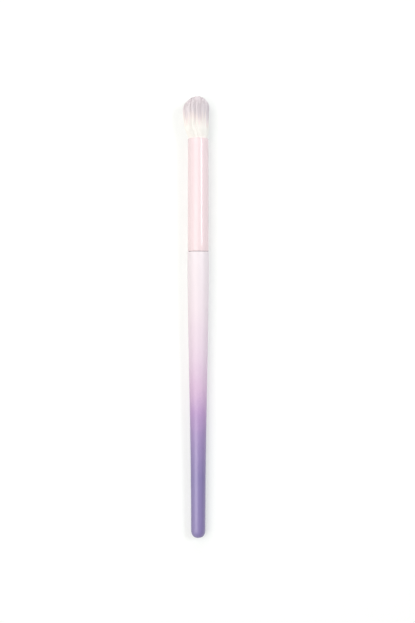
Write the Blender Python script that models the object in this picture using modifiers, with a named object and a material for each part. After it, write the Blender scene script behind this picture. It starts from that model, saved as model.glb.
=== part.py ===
"""Round makeup brush, lying on the table plane z = 0 with its tuft towards +Y.

Every piece is made round one long axis, and an empty lays that axis down on the table.
Along the axis, the station of a point is its distance from the butt face, and its reach
is its distance beyond the ferrule's mouth. Before the empty turns them, the pieces stand
on local Z with the side that will face the table at local +Y. Lengths are in metres.
"""

import math
import random

import bmesh
import bpy
from mathutils import Vector
from mathutils.geometry import interpolate_bezier

MM = 0.001

# Clearances between pieces
JOINT_GAP = 0.3 * MM
FIT_GAP = 0.12 * MM

# Ferrule: a drawn tube, a hair wider at the back than at the mouth
FERRULE_LENGTH = 42.7 * MM
FERRULE_MOUTH_RADIUS = 3.93 * MM
FERRULE_BACK_RADIUS = 3.98 * MM
FERRULE_WALL = 0.4 * MM
FERRULE_BACK_ROUND = 0.12 * MM

# Handle: turned wood, with its belly just behind the ferrule
HANDLE_LENGTH = 109.0 * MM
BUTT_FACE_RADIUS = 1.0 * MM
BUTT_RADIUS = 2.75 * MM
BUTT_ROUND_LENGTH = 2.8 * MM
BELLY_RISE = 0.08 * MM
BELLY_SETBACK = 6.0 * MM
SHOULDER_STEP = 0.05 * MM
SHOULDER_ROUND = 0.25 * MM
SWELL_BUTT_SHARES = (0.45, 0.10)
SWELL_BELLY_SHARES = (0.70, 0.85)

# Tenon, which reaches up to the epoxy, with turned grooves for the adhesive
TENON_CHAMFER = 0.5 * MM
GLUE_THICKNESS = 0.24 * MM
GROOVE_COUNT = 2
GROOVE_WIDTH = 1.2 * MM
GROOVE_DEPTH = 0.3 * MM
GLUE_INSET = 1.0 * MM

# Root of the hair, glued solid and drawn in where the thread ties it
ROOT_INSET = 0.25 * MM
ROOT_DEPTH = 11.0 * MM
TIE_DEPTH = 7.6 * MM
TIE_LENGTH = 1.2 * MM
TIE_DRAW_IN = 0.5 * MM
TIE_SLOPE_LENGTH = 0.6 * MM
THREAD_TURNS = 3

# Epoxy poured in behind the root
PLUG_LENGTH = 7.4 * MM
MENISCUS_DEPTH = 0.5 * MM

# Tuft: barrel-sided, domed, leaning a little to the left and down onto the table
HAIR_LENGTH = 16.4 * MM
TUFT_RADIUS = 5.18 * MM
CROWN_HEIGHT = 5.1 * MM
TUFT_LEAN = 0.72 * MM
TUFT_SAG = 0.3 * MM
CROWN_RETURN_SHARE = 0.8
TIP_SCATTER = 0.25 * MM
STRAND_RINGS = 10
STRAND_SEED = 7
SPOT_SCATTER_SHARE = 0.2
# Shares along the barrel: of its length, of the spread from root to full, of the lean
BARREL_SHARES = ((0.0, 0.0, 0.0), (0.19, 0.48, 0.30), (0.50, 0.80, 0.80), (1.0, 1.0, 1.0))
STRAND_BEND_SHARES = (0.19, 0.50)
STRAND_NECK_SHARE = 0.72
STRAND_WIDTH_SHARES = (0.90, 0.92, 0.72)

# How finely round things are faceted
ROUND_STEPS = 48
SWELL_STEPS = 12
BELLY_STEPS = 3
ARC_STEPS = 3
MERGE_DISTANCE = 0.01 * MM

# Places along the axis
SHOULDER_STATION = HANDLE_LENGTH
BACK_STATION = SHOULDER_STATION + JOINT_GAP
MOUTH_STATION = BACK_STATION + FERRULE_LENGTH
TIP_STATION = MOUTH_STATION + HAIR_LENGTH
ROOT_TOP_STATION = MOUTH_STATION - ROOT_INSET
ROOT_END_STATION = MOUTH_STATION - ROOT_DEPTH
PLUG_TOP_STATION = ROOT_END_STATION - JOINT_GAP
PLUG_END_STATION = PLUG_TOP_STATION - PLUG_LENGTH
TENON_STATION = PLUG_END_STATION - JOINT_GAP
TENON_LENGTH = TENON_STATION - SHOULDER_STATION
BELLY_STATION = SHOULDER_STATION - BELLY_SETBACK

# Radii that follow from the ferrule
BORE_RADIUS = min(FERRULE_MOUTH_RADIUS, FERRULE_BACK_RADIUS) - FERRULE_WALL
INNER_RADIUS = BORE_RADIUS - FIT_GAP
TENON_RADIUS = INNER_RADIUS - GLUE_THICKNESS - FIT_GAP
SHOULDER_RADIUS = FERRULE_BACK_RADIUS + SHOULDER_STEP
BELLY_RADIUS = SHOULDER_RADIUS + BELLY_RISE

BARREL_LENGTH = HAIR_LENGTH - CROWN_HEIGHT
WAIST_RADIUS = INNER_RADIUS - TIE_DRAW_IN

# A facet's middle lies nearer the axis than its corners
FACET_SHARE = math.cos(math.pi / ROUND_STEPS)


def clear_scene():
    """Empty the file, so that the brush is the only thing in it."""
    for old in list(bpy.data.objects):
        bpy.data.objects.remove(old, do_unlink=True)


def arc(centre, radii, start, end, steps=ARC_STEPS):
    """Points of an elliptical arc about a (radius, station) centre, with its angles in degrees."""
    points = []
    for step in range(steps + 1):
        angle = math.radians(start + (end - start) * step / steps)
        radius = centre[0] + radii[0] * math.cos(angle)
        station = centre[1] + radii[1] * math.sin(angle)
        points.append((radius, station))
    return points


def swell():
    """The handle's side from the butt's rounding up to the belly: (radius, station) pairs."""
    rise = BELLY_RADIUS - BUTT_RADIUS
    run = BELLY_STATION - BUTT_ROUND_LENGTH
    shares = [(0, 0), SWELL_BUTT_SHARES, SWELL_BELLY_SHARES, (1, 1)]
    corners = [Vector((along, out, 0)) for along, out in shares]
    points = interpolate_bezier(*corners, SWELL_STEPS + 1)
    return [(BUTT_RADIUS + rise * p.y, BUTT_ROUND_LENGTH + run * p.x) for p in points]


def belly():
    """The handle's side from past the belly up to the shoulder's rounding."""
    top = SHOULDER_STATION - SHOULDER_ROUND
    points = []
    for step in range(1, BELLY_STEPS + 1):
        share = step / BELLY_STEPS
        radius = BELLY_RADIUS - (BELLY_RADIUS - SHOULDER_RADIUS) * share ** 2
        points.append((radius, BELLY_STATION + (top - BELLY_STATION) * share))
    return points


def rest_slope():
    """Slope of a straight edge laid along the handle from the butt: the table's, seen from the axis."""
    slopes = []
    for radius, station in swell()[1:] + belly():
        slopes.append((radius - BUTT_RADIUS) / (station - BUTT_ROUND_LENGTH))
    return FACET_SHARE * max(slopes)


SLOPE = rest_slope()
BUTT_TABLE_DEPTH = FACET_SHARE * BUTT_RADIUS - BUTT_ROUND_LENGTH * SLOPE


def table_depth(station):
    """How far below the axis the table lies at a station."""
    return BUTT_TABLE_DEPTH + SLOPE * station


def tenon_outline(clearance):
    """Side of the tenon from its end to the shoulder, grooves and all, held off by a clearance."""
    radius = TENON_RADIUS + clearance
    pitch = (TENON_LENGTH - GLUE_INSET - GLUE_INSET) / GROOVE_COUNT
    points = []
    for number in range(GROOVE_COUNT):
        middle = TENON_STATION - GLUE_INSET - pitch * (number + 0.5)
        lip = GROOVE_WIDTH / 2 - clearance
        floor = lip - GROOVE_DEPTH
        points += [
            (radius, middle + lip),
            (radius - GROOVE_DEPTH, middle + floor),
            (radius - GROOVE_DEPTH, middle - floor),
            (radius, middle - lip),
        ]
    return points


def handle_outline():
    outline = [
        (0, TENON_STATION),
        (TENON_RADIUS - TENON_CHAMFER, TENON_STATION),
        (TENON_RADIUS, TENON_STATION - TENON_CHAMFER),
    ]
    outline += tenon_outline(0)
    outline.append((TENON_RADIUS, SHOULDER_STATION))
    corner = (SHOULDER_RADIUS - SHOULDER_ROUND, SHOULDER_STATION - SHOULDER_ROUND)
    outline += arc(corner, (SHOULDER_ROUND, SHOULDER_ROUND), 90, 0)
    outline += belly()[-2::-1]
    outline += swell()[:0:-1]
    butt = (BUTT_FACE_RADIUS, BUTT_ROUND_LENGTH)
    outline += arc(butt, (BUTT_RADIUS - BUTT_FACE_RADIUS, BUTT_ROUND_LENGTH), 0, -90, 2 * ARC_STEPS)
    outline.append((0, 0))
    return outline


def ferrule_outline():
    lip = FERRULE_WALL / 2
    mouth = (FERRULE_MOUTH_RADIUS - lip, MOUTH_STATION - lip)
    edge = FERRULE_BACK_ROUND
    outer = (FERRULE_BACK_RADIUS - edge, BACK_STATION + edge)
    inner = (FERRULE_BACK_RADIUS - FERRULE_WALL + edge, BACK_STATION + edge)
    outline = arc(mouth, (lip, lip), 180, 0, 2 * ARC_STEPS)
    outline += arc(outer, (edge, edge), 0, -90)
    outline += arc(inner, (edge, edge), -90, -180)
    return outline


def tenon_glue_outline():
    top = TENON_STATION - GLUE_INSET
    bottom = SHOULDER_STATION + GLUE_INSET
    inner = TENON_RADIUS + FIT_GAP
    outline = [(inner, top), (INNER_RADIUS, top), (INNER_RADIUS, bottom), (inner, bottom)]
    return outline + tenon_outline(FIT_GAP)[::-1]


def glue_plug_outline():
    """The epoxy, flat against the root and dished where it set."""
    dish = arc((0, PLUG_END_STATION), (INNER_RADIUS, MENISCUS_DEPTH), 0, 90)
    return [(0, PLUG_TOP_STATION), (INNER_RADIUS, PLUG_TOP_STATION)] + dish


def thread_outline():
    """The wound thread: a band with one rounded ridge for each turn."""
    top = MOUTH_STATION - TIE_DEPTH - FIT_GAP
    length = TIE_LENGTH - 2 * FIT_GAP
    inner = WAIST_RADIUS + FIT_GAP
    ridge = length / THREAD_TURNS / 2
    crest = INNER_RADIUS - ridge
    outline = [(inner, top)]
    for turn in range(THREAD_TURNS):
        middle = top - ridge * (2 * turn + 1)
        outline += arc((crest, middle), (ridge, ridge), 60, -60, 2)
    return outline + [(inner, top - length)]


def turned(name, outline, material, closed=False):
    """A solid of revolution from (radius, station) pairs that run down its outer side."""
    mesh = bpy.data.meshes.new(name)
    edges = [(index, index + 1) for index in range(len(outline) - 1)]
    if closed:
        edges.append((len(outline) - 1, 0))
    mesh.from_pydata([(radius, 0, station) for radius, station in outline], edges, [])
    piece = bpy.data.objects.new(name, mesh)
    mesh.materials.append(material)
    # Half a facet's turn, so that a facet and not a corner faces the table
    piece.rotation_euler.z = math.pi / ROUND_STEPS
    screw = piece.modifiers.new("Turn", "SCREW")
    screw.axis = "Z"
    screw.steps = ROUND_STEPS
    screw.render_steps = ROUND_STEPS
    screw.use_merge_vertices = True
    screw.merge_threshold = MERGE_DISTANCE
    screw.use_smooth_shade = True
    return piece


def barrel_shares(reach):
    """Shares of the spread and of the lean at a reach along the tuft's barrel."""
    along = min(max(reach / BARREL_LENGTH, 0), 1)
    for before, after in zip(BARREL_SHARES, BARREL_SHARES[1:]):
        if along <= after[0]:
            share = (along - before[0]) / (after[0] - before[0])
            return tuple(a + (b - a) * share for a, b in zip(before[1:], after[1:]))
    return BARREL_SHARES[-1][1:]


def tuft_place(spot, reach):
    """Where a spot of the bundle's round section, of unit radius, lies at a reach."""
    spread, lean = barrel_shares(reach)
    crown = max(reach - BARREL_LENGTH, 0) / CROWN_HEIGHT
    lean *= 1 - CROWN_RETURN_SHARE * crown ** 2
    radius = INNER_RADIUS + (TUFT_RADIUS - INNER_RADIUS) * spread
    sag = TUFT_SAG * lean
    # The underside is pressed flat: each column of hair shortens until it ends on the table
    low = radius * math.sqrt(max(1 - spot.x ** 2, 0))
    room = table_depth(MOUTH_STATION + reach) - sag
    press = min(1, room / low) if spot.y > 0 and low > 0 else 1
    across = radius * spot.x - TUFT_LEAN * lean
    down = radius * spot.y * press + sag
    return Vector((across, down, MOUTH_STATION + reach))


def crown_reach(spot):
    """Reach of the dome over a spot of the bundle's section."""
    return BARREL_LENGTH + CROWN_HEIGHT * math.sqrt(max(1 - spot.length_squared, 0))


def bundle_section(bm, scatter):
    """A disc of unit radius in rings of triangles: ring n has 6n corners, and carries 6n strands."""
    bmesh.ops.create_circle(bm, cap_ends=True, cap_tris=True, segments=6, radius=STRAND_RINGS)
    bmesh.ops.subdivide_edges(bm, edges=bm.edges, cuts=STRAND_RINGS - 1, use_grid_fill=True)
    half_side = math.pi / 6
    for vert in bm.verts:
        # The hexagon's sides face angle zero and every sixth of a turn from it
        angle = math.atan2(vert.co.y, vert.co.x)
        away = (angle + half_side) % (2 * half_side) - half_side
        ring = round(vert.co.length * math.cos(away) / math.cos(half_side))
        # Corners that were evenly spaced along a side become evenly spaced round the circle
        angle += half_side * math.tan(away) / math.tan(half_side) - away
        spot = Vector((math.cos(angle), math.sin(angle), 0)) * ring
        if ring < STRAND_RINGS:
            # Hair isn't packed in rows, so the corners inside the rim stray from theirs
            stray = scatter.uniform(0, 2 * math.pi)
            spot += Vector((math.cos(stray), math.sin(stray), 0)) * SPOT_SCATTER_SHARE
        vert.co = spot / STRAND_RINGS


def strand_bases(bm):
    """The triangles that strands grow from: those with an edge on their outer ring."""
    rings = {vert: round(vert.co.length * STRAND_RINGS) for vert in bm.verts}
    return [face for face in bm.faces if sum(rings[vert] for vert in face.verts) % 3 == 2]


def add_root(bm, section_rim):
    """Carry the bundle's rim down as the glued root, in at the thread and out again, and close it."""
    waist_top = MOUTH_STATION - TIE_DEPTH
    waist_end = waist_top - TIE_LENGTH
    levels = (
        (INNER_RADIUS, waist_top + TIE_SLOPE_LENGTH),
        (WAIST_RADIUS, waist_top),
        (WAIST_RADIUS, waist_end),
        (INNER_RADIUS, waist_end - TIE_SLOPE_LENGTH),
        (INNER_RADIUS, ROOT_END_STATION),
    )
    rim = section_rim
    for radius, station in levels:
        grown = bmesh.ops.extrude_edge_only(bm, edges=rim)["geom"]
        rim = [item for item in grown if isinstance(item, bmesh.types.BMEdge)]
        for vert in {vert for edge in rim for vert in edge.verts}:
            flat = Vector((vert.co.x, vert.co.y, 0)).normalized() * radius
            vert.co = flat + Vector((0, 0, station))
    bmesh.ops.holes_fill(bm, edges=rim, sides=len(rim))


def hair_tuft(material):
    """Strands of three sides that rise from the glued root and end in points under the dome."""
    scatter = random.Random(STRAND_SEED)
    bm = bmesh.new()
    bundle_section(bm, scatter)
    # Each corner keeps its spot in the bundle's section, and each strand keeps the reach of its tip
    spot = bm.verts.layers.float_vector.new("spot")
    tip = bm.faces.layers.float.new("tip")
    strands = strand_bases(bm)
    rim = [edge for edge in bm.edges if edge.is_boundary]
    for vert in bm.verts:
        vert[spot] = vert.co
    for face in strands:
        face[tip] = crown_reach(face.calc_center_median()) - scatter.uniform(0, TIP_SCATTER)
    for vert in bm.verts:
        vert.co = vert[spot] * INNER_RADIUS + Vector((0, 0, ROOT_TOP_STATION))
    add_root(bm, rim)
    bends = [BARREL_LENGTH * share for share in STRAND_BEND_SHARES]
    for step, width in enumerate(STRAND_WIDTH_SHARES):
        strands = bmesh.ops.extrude_discrete_faces(bm, faces=strands)["faces"]
        for face in strands:
            neck = bends[-1] + (face[tip] - bends[-1]) * STRAND_NECK_SHARE
            reach = bends[step] if step < len(bends) else neck
            middle = sum((vert[spot] for vert in face.verts), Vector()) / len(face.verts)
            for vert in face.verts:
                vert.co = tuft_place(middle.lerp(vert[spot], width), reach)
    for face in strands:
        reach = face[tip]
        middle = sum((vert[spot] for vert in face.verts), Vector()) / len(face.verts)
        point = bmesh.ops.poke(bm, faces=[face])["verts"][0]
        point.co = tuft_place(middle, reach)
    bmesh.ops.recalc_face_normals(bm, faces=bm.faces)
    mesh = bpy.data.meshes.new("hair_tuft")
    bm.to_mesh(mesh)
    bm.free()
    mesh.materials.append(material)
    return bpy.data.objects.new("hair_tuft", mesh)


def linear(hex_colour):
    """An sRGB hex colour as linear red, green, blue and full alpha."""
    channels = [int(hex_colour[place : place + 2], 16) / 255 for place in (0, 2, 4)]
    return [c / 12.92 if c <= 0.04045 else ((c + 0.055) / 1.055) ** 2.4 for c in channels] + [1]


def finish(name, hex_colour, roughness, metallic=0.0):
    material = bpy.data.materials.new(name)
    material.use_nodes = True
    material.diffuse_color = linear(hex_colour)
    shader = material.node_tree.nodes["Principled BSDF"]
    shader.inputs["Base Color"].default_value = linear(hex_colour)
    shader.inputs["Roughness"].default_value = roughness
    shader.inputs["Metallic"].default_value = metallic
    return material


def brush_axis(collection):
    """The empty that lays the brush down on butt and belly, with its bounds centred on the origin."""
    axis = bpy.data.objects.new("brush_axis", None)
    axis.empty_display_size = FERRULE_LENGTH
    tilt = math.atan(SLOPE)
    axis.rotation_euler.x = tilt - math.pi / 2
    axis.location = (TUFT_LEAN, -TIP_STATION / 2 * math.cos(tilt), BUTT_TABLE_DEPTH * math.cos(tilt))
    collection.objects.link(axis)
    return axis


def main():
    clear_scene()
    collection = bpy.data.collections.new("makeup_brush")
    bpy.context.scene.collection.children.link(collection)
    axis = brush_axis(collection)
    lacquered_wood = finish("lilac lacquer over wood", "d0bad8", 0.35)
    pink_metal = finish("pink lacquered aluminium", "f3dfe2", 0.3, 0.6)
    filament = finish("soft synthetic filament", "e6dcdc", 0.75)
    cotton = finish("waxed cotton thread", "efe9dc", 0.9)
    epoxy = finish("amber epoxy", "c9a86a", 0.2)
    adhesive = finish("white wood adhesive", "e9e4d2", 0.5)
    pieces = [
        turned("handle", handle_outline(), lacquered_wood),
        turned("ferrule", ferrule_outline(), pink_metal, closed=True),
        hair_tuft(filament),
        turned("hair_tie_thread", thread_outline(), cotton, closed=True),
        turned("glue_plug", glue_plug_outline(), epoxy),
        turned("tenon_glue", tenon_glue_outline(), adhesive, closed=True),
    ]
    for piece in pieces:
        piece.parent = axis
        collection.objects.link(piece)


if __name__ == "__main__":
    main()
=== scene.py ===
"""A round makeup brush, modelled around its CAD frame and laid out as a Blender add-on.

Lengths are in metres. Each piece is modelled upright: its station, which is its distance
from the butt face, runs along Z, and the side that will face the table is at local +Y.
It is then laid down on the brush's own axis, which is read from the frame. A hair's reach
is its distance beyond the ferrule's mouth.
"""

import math

import bpy
import numpy as np
from bpy.props import FloatProperty, FloatVectorProperty, IntProperty, PointerProperty
from bpy.types import Operator, Panel, PropertyGroup
from mathutils import Matrix, Vector


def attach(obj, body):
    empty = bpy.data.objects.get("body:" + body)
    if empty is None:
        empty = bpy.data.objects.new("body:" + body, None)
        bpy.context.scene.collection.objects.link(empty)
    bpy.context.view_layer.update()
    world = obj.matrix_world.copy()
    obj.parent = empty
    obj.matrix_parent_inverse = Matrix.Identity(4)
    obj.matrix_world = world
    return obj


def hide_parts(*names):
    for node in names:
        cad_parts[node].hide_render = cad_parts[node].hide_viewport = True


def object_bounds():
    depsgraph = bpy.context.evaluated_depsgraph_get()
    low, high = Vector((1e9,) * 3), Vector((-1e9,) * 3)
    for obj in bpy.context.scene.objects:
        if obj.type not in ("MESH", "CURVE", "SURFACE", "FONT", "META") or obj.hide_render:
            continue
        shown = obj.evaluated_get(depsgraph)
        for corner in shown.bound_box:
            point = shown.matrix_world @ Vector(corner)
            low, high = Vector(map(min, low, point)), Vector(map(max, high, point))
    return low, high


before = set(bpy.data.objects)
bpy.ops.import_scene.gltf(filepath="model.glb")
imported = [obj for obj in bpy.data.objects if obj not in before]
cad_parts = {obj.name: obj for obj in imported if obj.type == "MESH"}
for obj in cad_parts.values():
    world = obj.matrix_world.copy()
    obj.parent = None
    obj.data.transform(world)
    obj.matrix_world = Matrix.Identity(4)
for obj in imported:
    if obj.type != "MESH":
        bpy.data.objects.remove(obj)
CAD_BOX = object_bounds()

bl_info = {
    "name": "Makeup brush",
    "version": (1, 0, 0),
    "blender": (4, 5, 0),
    "location": "3D View > Sidebar > Brush",
    "description": "Models a round makeup brush around its CAD frame",
    "category": "Object",
}

MM = 0.001


# Measures read from the frame


def corners_of(name):
    """The corners of a CAD node, each once, in rows of x, y and z."""
    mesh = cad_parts[name].data
    places = np.empty(3 * len(mesh.vertices))
    mesh.vertices.foreach_get("co", places)
    return np.unique(places.reshape(-1, 3).round(7), axis=0)


# The corners of a turned piece lie evenly round its axis, so their mean lies on it
HANDLE_MIDDLE = Vector(corners_of("handle").mean(axis=0))
FERRULE_MIDDLE = Vector(corners_of("ferrule").mean(axis=0))
AXIS = (FERRULE_MIDDLE - HANDLE_MIDDLE).normalized()
BUTT = HANDLE_MIDDLE + AXIS * float(((corners_of("handle") - HANDLE_MIDDLE) @ AXIS).min())
ACROSS = Vector((1, 0, 0))
DOWN = AXIS.cross(ACROSS)
LAID_DOWN = Matrix.Translation(BUTT) @ Matrix((ACROSS, DOWN, AXIS)).transposed().to_4x4()


def measures_of(name):
    """A CAD node's first and last station, and its least and largest radius about the axis."""
    places = corners_of(name) - BUTT
    stations = places @ AXIS
    radii = np.linalg.norm(places - np.outer(stations, AXIS), axis=1)
    return [float(x) for x in (stations.min(), stations.max(), radii.min(), radii.max())]


BACK_STATION, MOUTH_STATION, BORE_RADIUS, FERRULE_RADIUS = measures_of("ferrule")
TENON_STATION, BELLY_RADIUS = measures_of("handle")[1::2]
ROOT_STATION, TIP_STATION = measures_of("hair_tuft")[:2]
THREAD_STATION, THREAD_TOP, THREAD_CORE, THREAD_RADIUS = measures_of("hair_tie_thread")
TUFT_LENGTH = TIP_STATION - MOUTH_STATION


# Settings


def linear(hex_colour):
    """An sRGB hex colour as linear red, green and blue."""
    channels = [int(hex_colour[place : place + 2], 16) / 255 for place in (0, 2, 4)]
    return [c / 12.92 if c <= 0.04045 else ((c + 0.055) / 1.055) ** 2.4 for c in channels]


def length_property(name, description, default):
    """A length in metres."""
    return FloatProperty(
        name=name, description=description, default=default, min=0, unit="LENGTH", precision=5
    )


def power_property(name, description, default):
    """A lamp's power in watts."""
    return FloatProperty(name=name, description=description, default=default, min=0, unit="POWER")


def strength_property(name, description, default):
    """A share of plain white."""
    return FloatProperty(name=name, description=description, default=default, min=0)


def colour_property(name, description, hex_colour):
    """A colour that is given as sRGB hex and kept linear."""
    return FloatVectorProperty(
        name=name, description=description, default=linear(hex_colour), min=0, max=1, subtype="COLOR"
    )


class HandleSettings(PropertyGroup):
    """The handle's sizes, and its lacquer's colours from butt to shoulder."""

    joint_gap: length_property("Joint gap", "Gap between shoulder and ferrule", 0.15 * MM)
    butt_face_radius: length_property("Butt face radius", "Flat left where the turning was parted", 1.0 * MM)
    butt_radius: length_property("Butt radius", "Radius just before the butt is rounded over", 2.75 * MM)
    butt_round: length_property("Butt rounding", "Length over which the butt is rounded", 2.8 * MM)
    belly_setback: length_property("Belly setback", "How far the belly lies behind the shoulder", 6.0 * MM)
    shoulder_step: length_property("Shoulder step", "How far the shoulder stands proud", 0.05 * MM)
    shoulder_round: length_property("Shoulder rounding", "Radius of the shoulder's edge", 0.25 * MM)
    overspray: length_property("Overspray", "How far the lacquer runs up the tenon", 0.9 * MM)
    tenon_radius: length_property("Tenon radius", "Radius of the tenon inside the ferrule", 3.05 * MM)
    tenon_chamfer: length_property("Tenon chamfer", "Chamfer at the tenon's end", 0.5 * MM)
    groove_width: length_property("Groove width", "Width of each glue groove", 1.2 * MM)
    groove_depth: length_property("Groove depth", "Depth of each glue groove", 0.3 * MM)
    purple: colour_property("Purple", "Lacquer at the butt", "624f91")
    violet: colour_property("Violet", "Lacquer where the fade starts", "8f77ab")
    lilac: colour_property("Lilac", "Lacquer a third of the way up the fade", "b08fbe")
    mauve: colour_property("Mauve", "Lacquer in the middle of the fade", "d3b6d2")
    blush: colour_property("Blush", "Lacquer near the end of the fade", "e2cede")
    rose: colour_property("Rose", "Lacquer above the fade", "ecdfe5")
    pale: colour_property("Pale", "Lacquer at the shoulder", "eee5e8")


class FerruleSettings(PropertyGroup):
    """The ferrule's sizes and colour."""

    mouth_radius: length_property("Mouth radius", "Outer radius at the mouth", 3.93 * MM)
    back_round: length_property("Back rounding", "Radius of the edges at the back", 0.12 * MM)
    pink: colour_property("Pink", "Lacquer on the metal", "f1dddf")


class TuftSettings(PropertyGroup):
    """The tuft's sizes, and its hairs' colours from root to tip."""

    hairs: IntProperty(name="Hairs", description="Number of hairs", default=9000, min=3, max=13000)
    hair_radius: length_property("Hair radius", "Radius of a hair at its root", 0.058 * MM)
    tuft_radius: length_property("Tuft radius", "Radius where the tuft is widest", 5.0 * MM)
    crown_height: length_property("Crown height", "Height of the dome above the widest place", 5.1 * MM)
    lean: length_property("Lean", "How far the tuft leans to the left", 0.88 * MM)
    sag: length_property("Sag", "How far the tuft sags towards the table", 0.3 * MM)
    cream: colour_property("Cream", "Undyed hair", "fffdf8")
    blush: colour_property("Blush", "Where the dye thins out", "fbf1ee")
    tip: colour_property("Tip", "Dyed tips", "f8f2f4")
    # Dark tip is also the colour that paints the shade along the tuft's two partings
    dark_tip: colour_property("Dark tip", "Tips that took more dye", "c8bac0")


class StageSettings(PropertyGroup):
    """The floor, the lamps, the surround and the camera."""

    floor_size: length_property("Floor size", "Side of the pale floor", 3.0)
    floor_lift: strength_property("Floor lift", "Whiteness that the camera sees in the floor", 0.395)
    lamp_distance: length_property("Lamp distance", "How far off the lamps stand", 0.8)
    key_power: power_property("Key", "Power of the broad lamp", 4.3)
    side_power: power_property("Side", "Power of the small lamp", 2.0)
    end_power: power_property("End", "Power of the lamp beyond the tuft", 1.2)
    ambient: strength_property("Ambient", "Strength of the light all round", 0.37)
    left_surround: strength_property("Left surround", "What gloss mirrors on the left", 1.55)
    right_surround: strength_property("Right surround", "What gloss mirrors on the right", 0.72)
    camera_height: length_property("Camera height", "Height of the lens above the table", 0.334)
    focal_length: FloatProperty(
        name="Lens", description="Focal length in millimetres", default=50, min=1, unit="CAMERA"
    )


# Making pieces

ROUND_SIDES = 96
MERGE_DISTANCE = 0.0005 * MM


def nothing_selected():
    """Leaves edit mode, and deselects everything."""
    if bpy.context.object and bpy.context.object.mode != "OBJECT":
        bpy.ops.object.mode_set(mode="OBJECT")
    bpy.ops.object.select_all(action="DESELECT")


def select_only(piece):
    """Makes a piece the one that operators act on."""
    nothing_selected()
    piece.select_set(True)
    bpy.context.view_layer.objects.active = piece


def arc(centre, radii, start, end, steps):
    """Points of an elliptical arc about a (radius, station) centre, with its angles in degrees."""
    points = []
    for step in range(steps + 1):
        angle = math.radians(start + (end - start) * step / steps)
        points.append((centre[0] + radii[0] * math.cos(angle), centre[1] + radii[1] * math.sin(angle)))
    return points


def turned(name, outline, sides=ROUND_SIDES):
    """A piece turned as on a lathe: a ring is drawn up its outline of (radius, station) pairs.

    An outline that comes back to its first pair makes a tube, and any other is capped at both ends.
    """
    nothing_selected()
    radius, station = outline[0]
    bpy.ops.mesh.primitive_circle_add(vertices=sides, radius=radius, location=(0, 0, station))
    piece = bpy.context.object
    piece.name = piece.data.name = name
    bpy.ops.object.transform_apply(location=True, rotation=True, scale=True)
    bpy.ops.object.mode_set(mode="EDIT")
    bpy.ops.mesh.select_all(action="SELECT")
    for next_radius, next_station in outline[1:]:
        rise = (0, 0, next_station - station)
        bpy.ops.mesh.extrude_region_move(TRANSFORM_OT_translate={"value": rise})
        size = next_radius / radius
        bpy.ops.transform.resize(value=(size, size, 1), center_override=(0, 0, next_station))
        radius, station = next_radius, next_station
    bpy.ops.mesh.select_all(action="SELECT")
    bpy.ops.mesh.remove_doubles(threshold=MERGE_DISTANCE)
    bpy.ops.mesh.select_all(action="DESELECT")
    bpy.ops.mesh.select_non_manifold(extend=False)
    if outline[-1] != outline[0]:
        bpy.ops.mesh.fill_holes(sides=0)
        if sides > 3:
            bpy.ops.mesh.poke()
    bpy.ops.mesh.select_all(action="SELECT")
    bpy.ops.mesh.normals_make_consistent(inside=False)
    bpy.ops.object.mode_set(mode="OBJECT")
    return piece


def eased(piece, width, sharp=30):
    """Rounds the edges that are sharper than so many degrees, and shades the piece smooth."""
    bevel = piece.modifiers.new("Eased edges", "BEVEL")
    bevel.width = width
    bevel.segments = 3
    bevel.limit_method = "ANGLE"
    bevel.angle_limit = math.radians(sharp)
    select_only(piece)
    bpy.ops.object.modifier_apply(modifier=bevel.name)
    bpy.ops.object.shade_smooth_by_angle(angle=math.radians(sharp))


def lay_down(piece, *finishes):
    """Lays a finished piece on the brush's axis, with its place in its mesh, and gives it its finishes."""
    for finish in finishes:
        piece.data.materials.append(finish)
    select_only(piece)
    piece.matrix_world = LAID_DOWN
    bpy.ops.object.transform_apply(location=True, rotation=True, scale=True)
    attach(piece, "root")


# Finishes


def new_finish(name):
    """A material with one shader, and what its nodes start from: tree, shader and Object coordinates."""
    finish = bpy.data.materials.new(name)
    finish.use_nodes = True
    tree = finish.node_tree
    shader = tree.nodes["Principled BSDF"]
    places = tree.nodes.new("ShaderNodeTexCoord").outputs["Object"]
    return finish, tree, shader, places


def add_node(tree, kind, sockets, **settings):
    """Adds a node: each socket gets a value or another node's output, and stops fill a colour ramp."""
    node = tree.nodes.new(kind)
    for number, (place, colour) in enumerate(settings.pop("stops", ())):
        elements = node.color_ramp.elements
        if number == 0:
            elements.remove(elements[1])
            elements[0].position = place
        stop = elements[0] if number == 0 else elements.new(place)
        stop.color = (*colour, 1)
    for name, value in settings.items():
        setattr(node, name, value)
    for name, value in sockets.items():
        if isinstance(value, bpy.types.NodeSocket):
            tree.links.new(value, node.inputs[name])
        else:
            node.inputs[name].default_value = value
    return node


def per_metre(millimetres):
    """The scale at which a texture's features are so many millimetres across."""
    return 1 / (millimetres * MM)


def from_pattern(tree, shader, pattern, stops, strength, depth, roughness):
    """Colours a surface from one pattern through a ramp, and embosses it with the same pattern."""
    colour = add_node(tree, "ShaderNodeValToRGB", {"Fac": pattern}, stops=stops)
    bump = add_node(tree, "ShaderNodeBump", {"Height": pattern, "Strength": strength, "Distance": depth})
    tree.links.new(colour.outputs["Color"], shader.inputs["Base Color"])
    tree.links.new(bump.outputs["Normal"], shader.inputs["Normal"])
    shader.inputs["Roughness"].default_value = roughness


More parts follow.
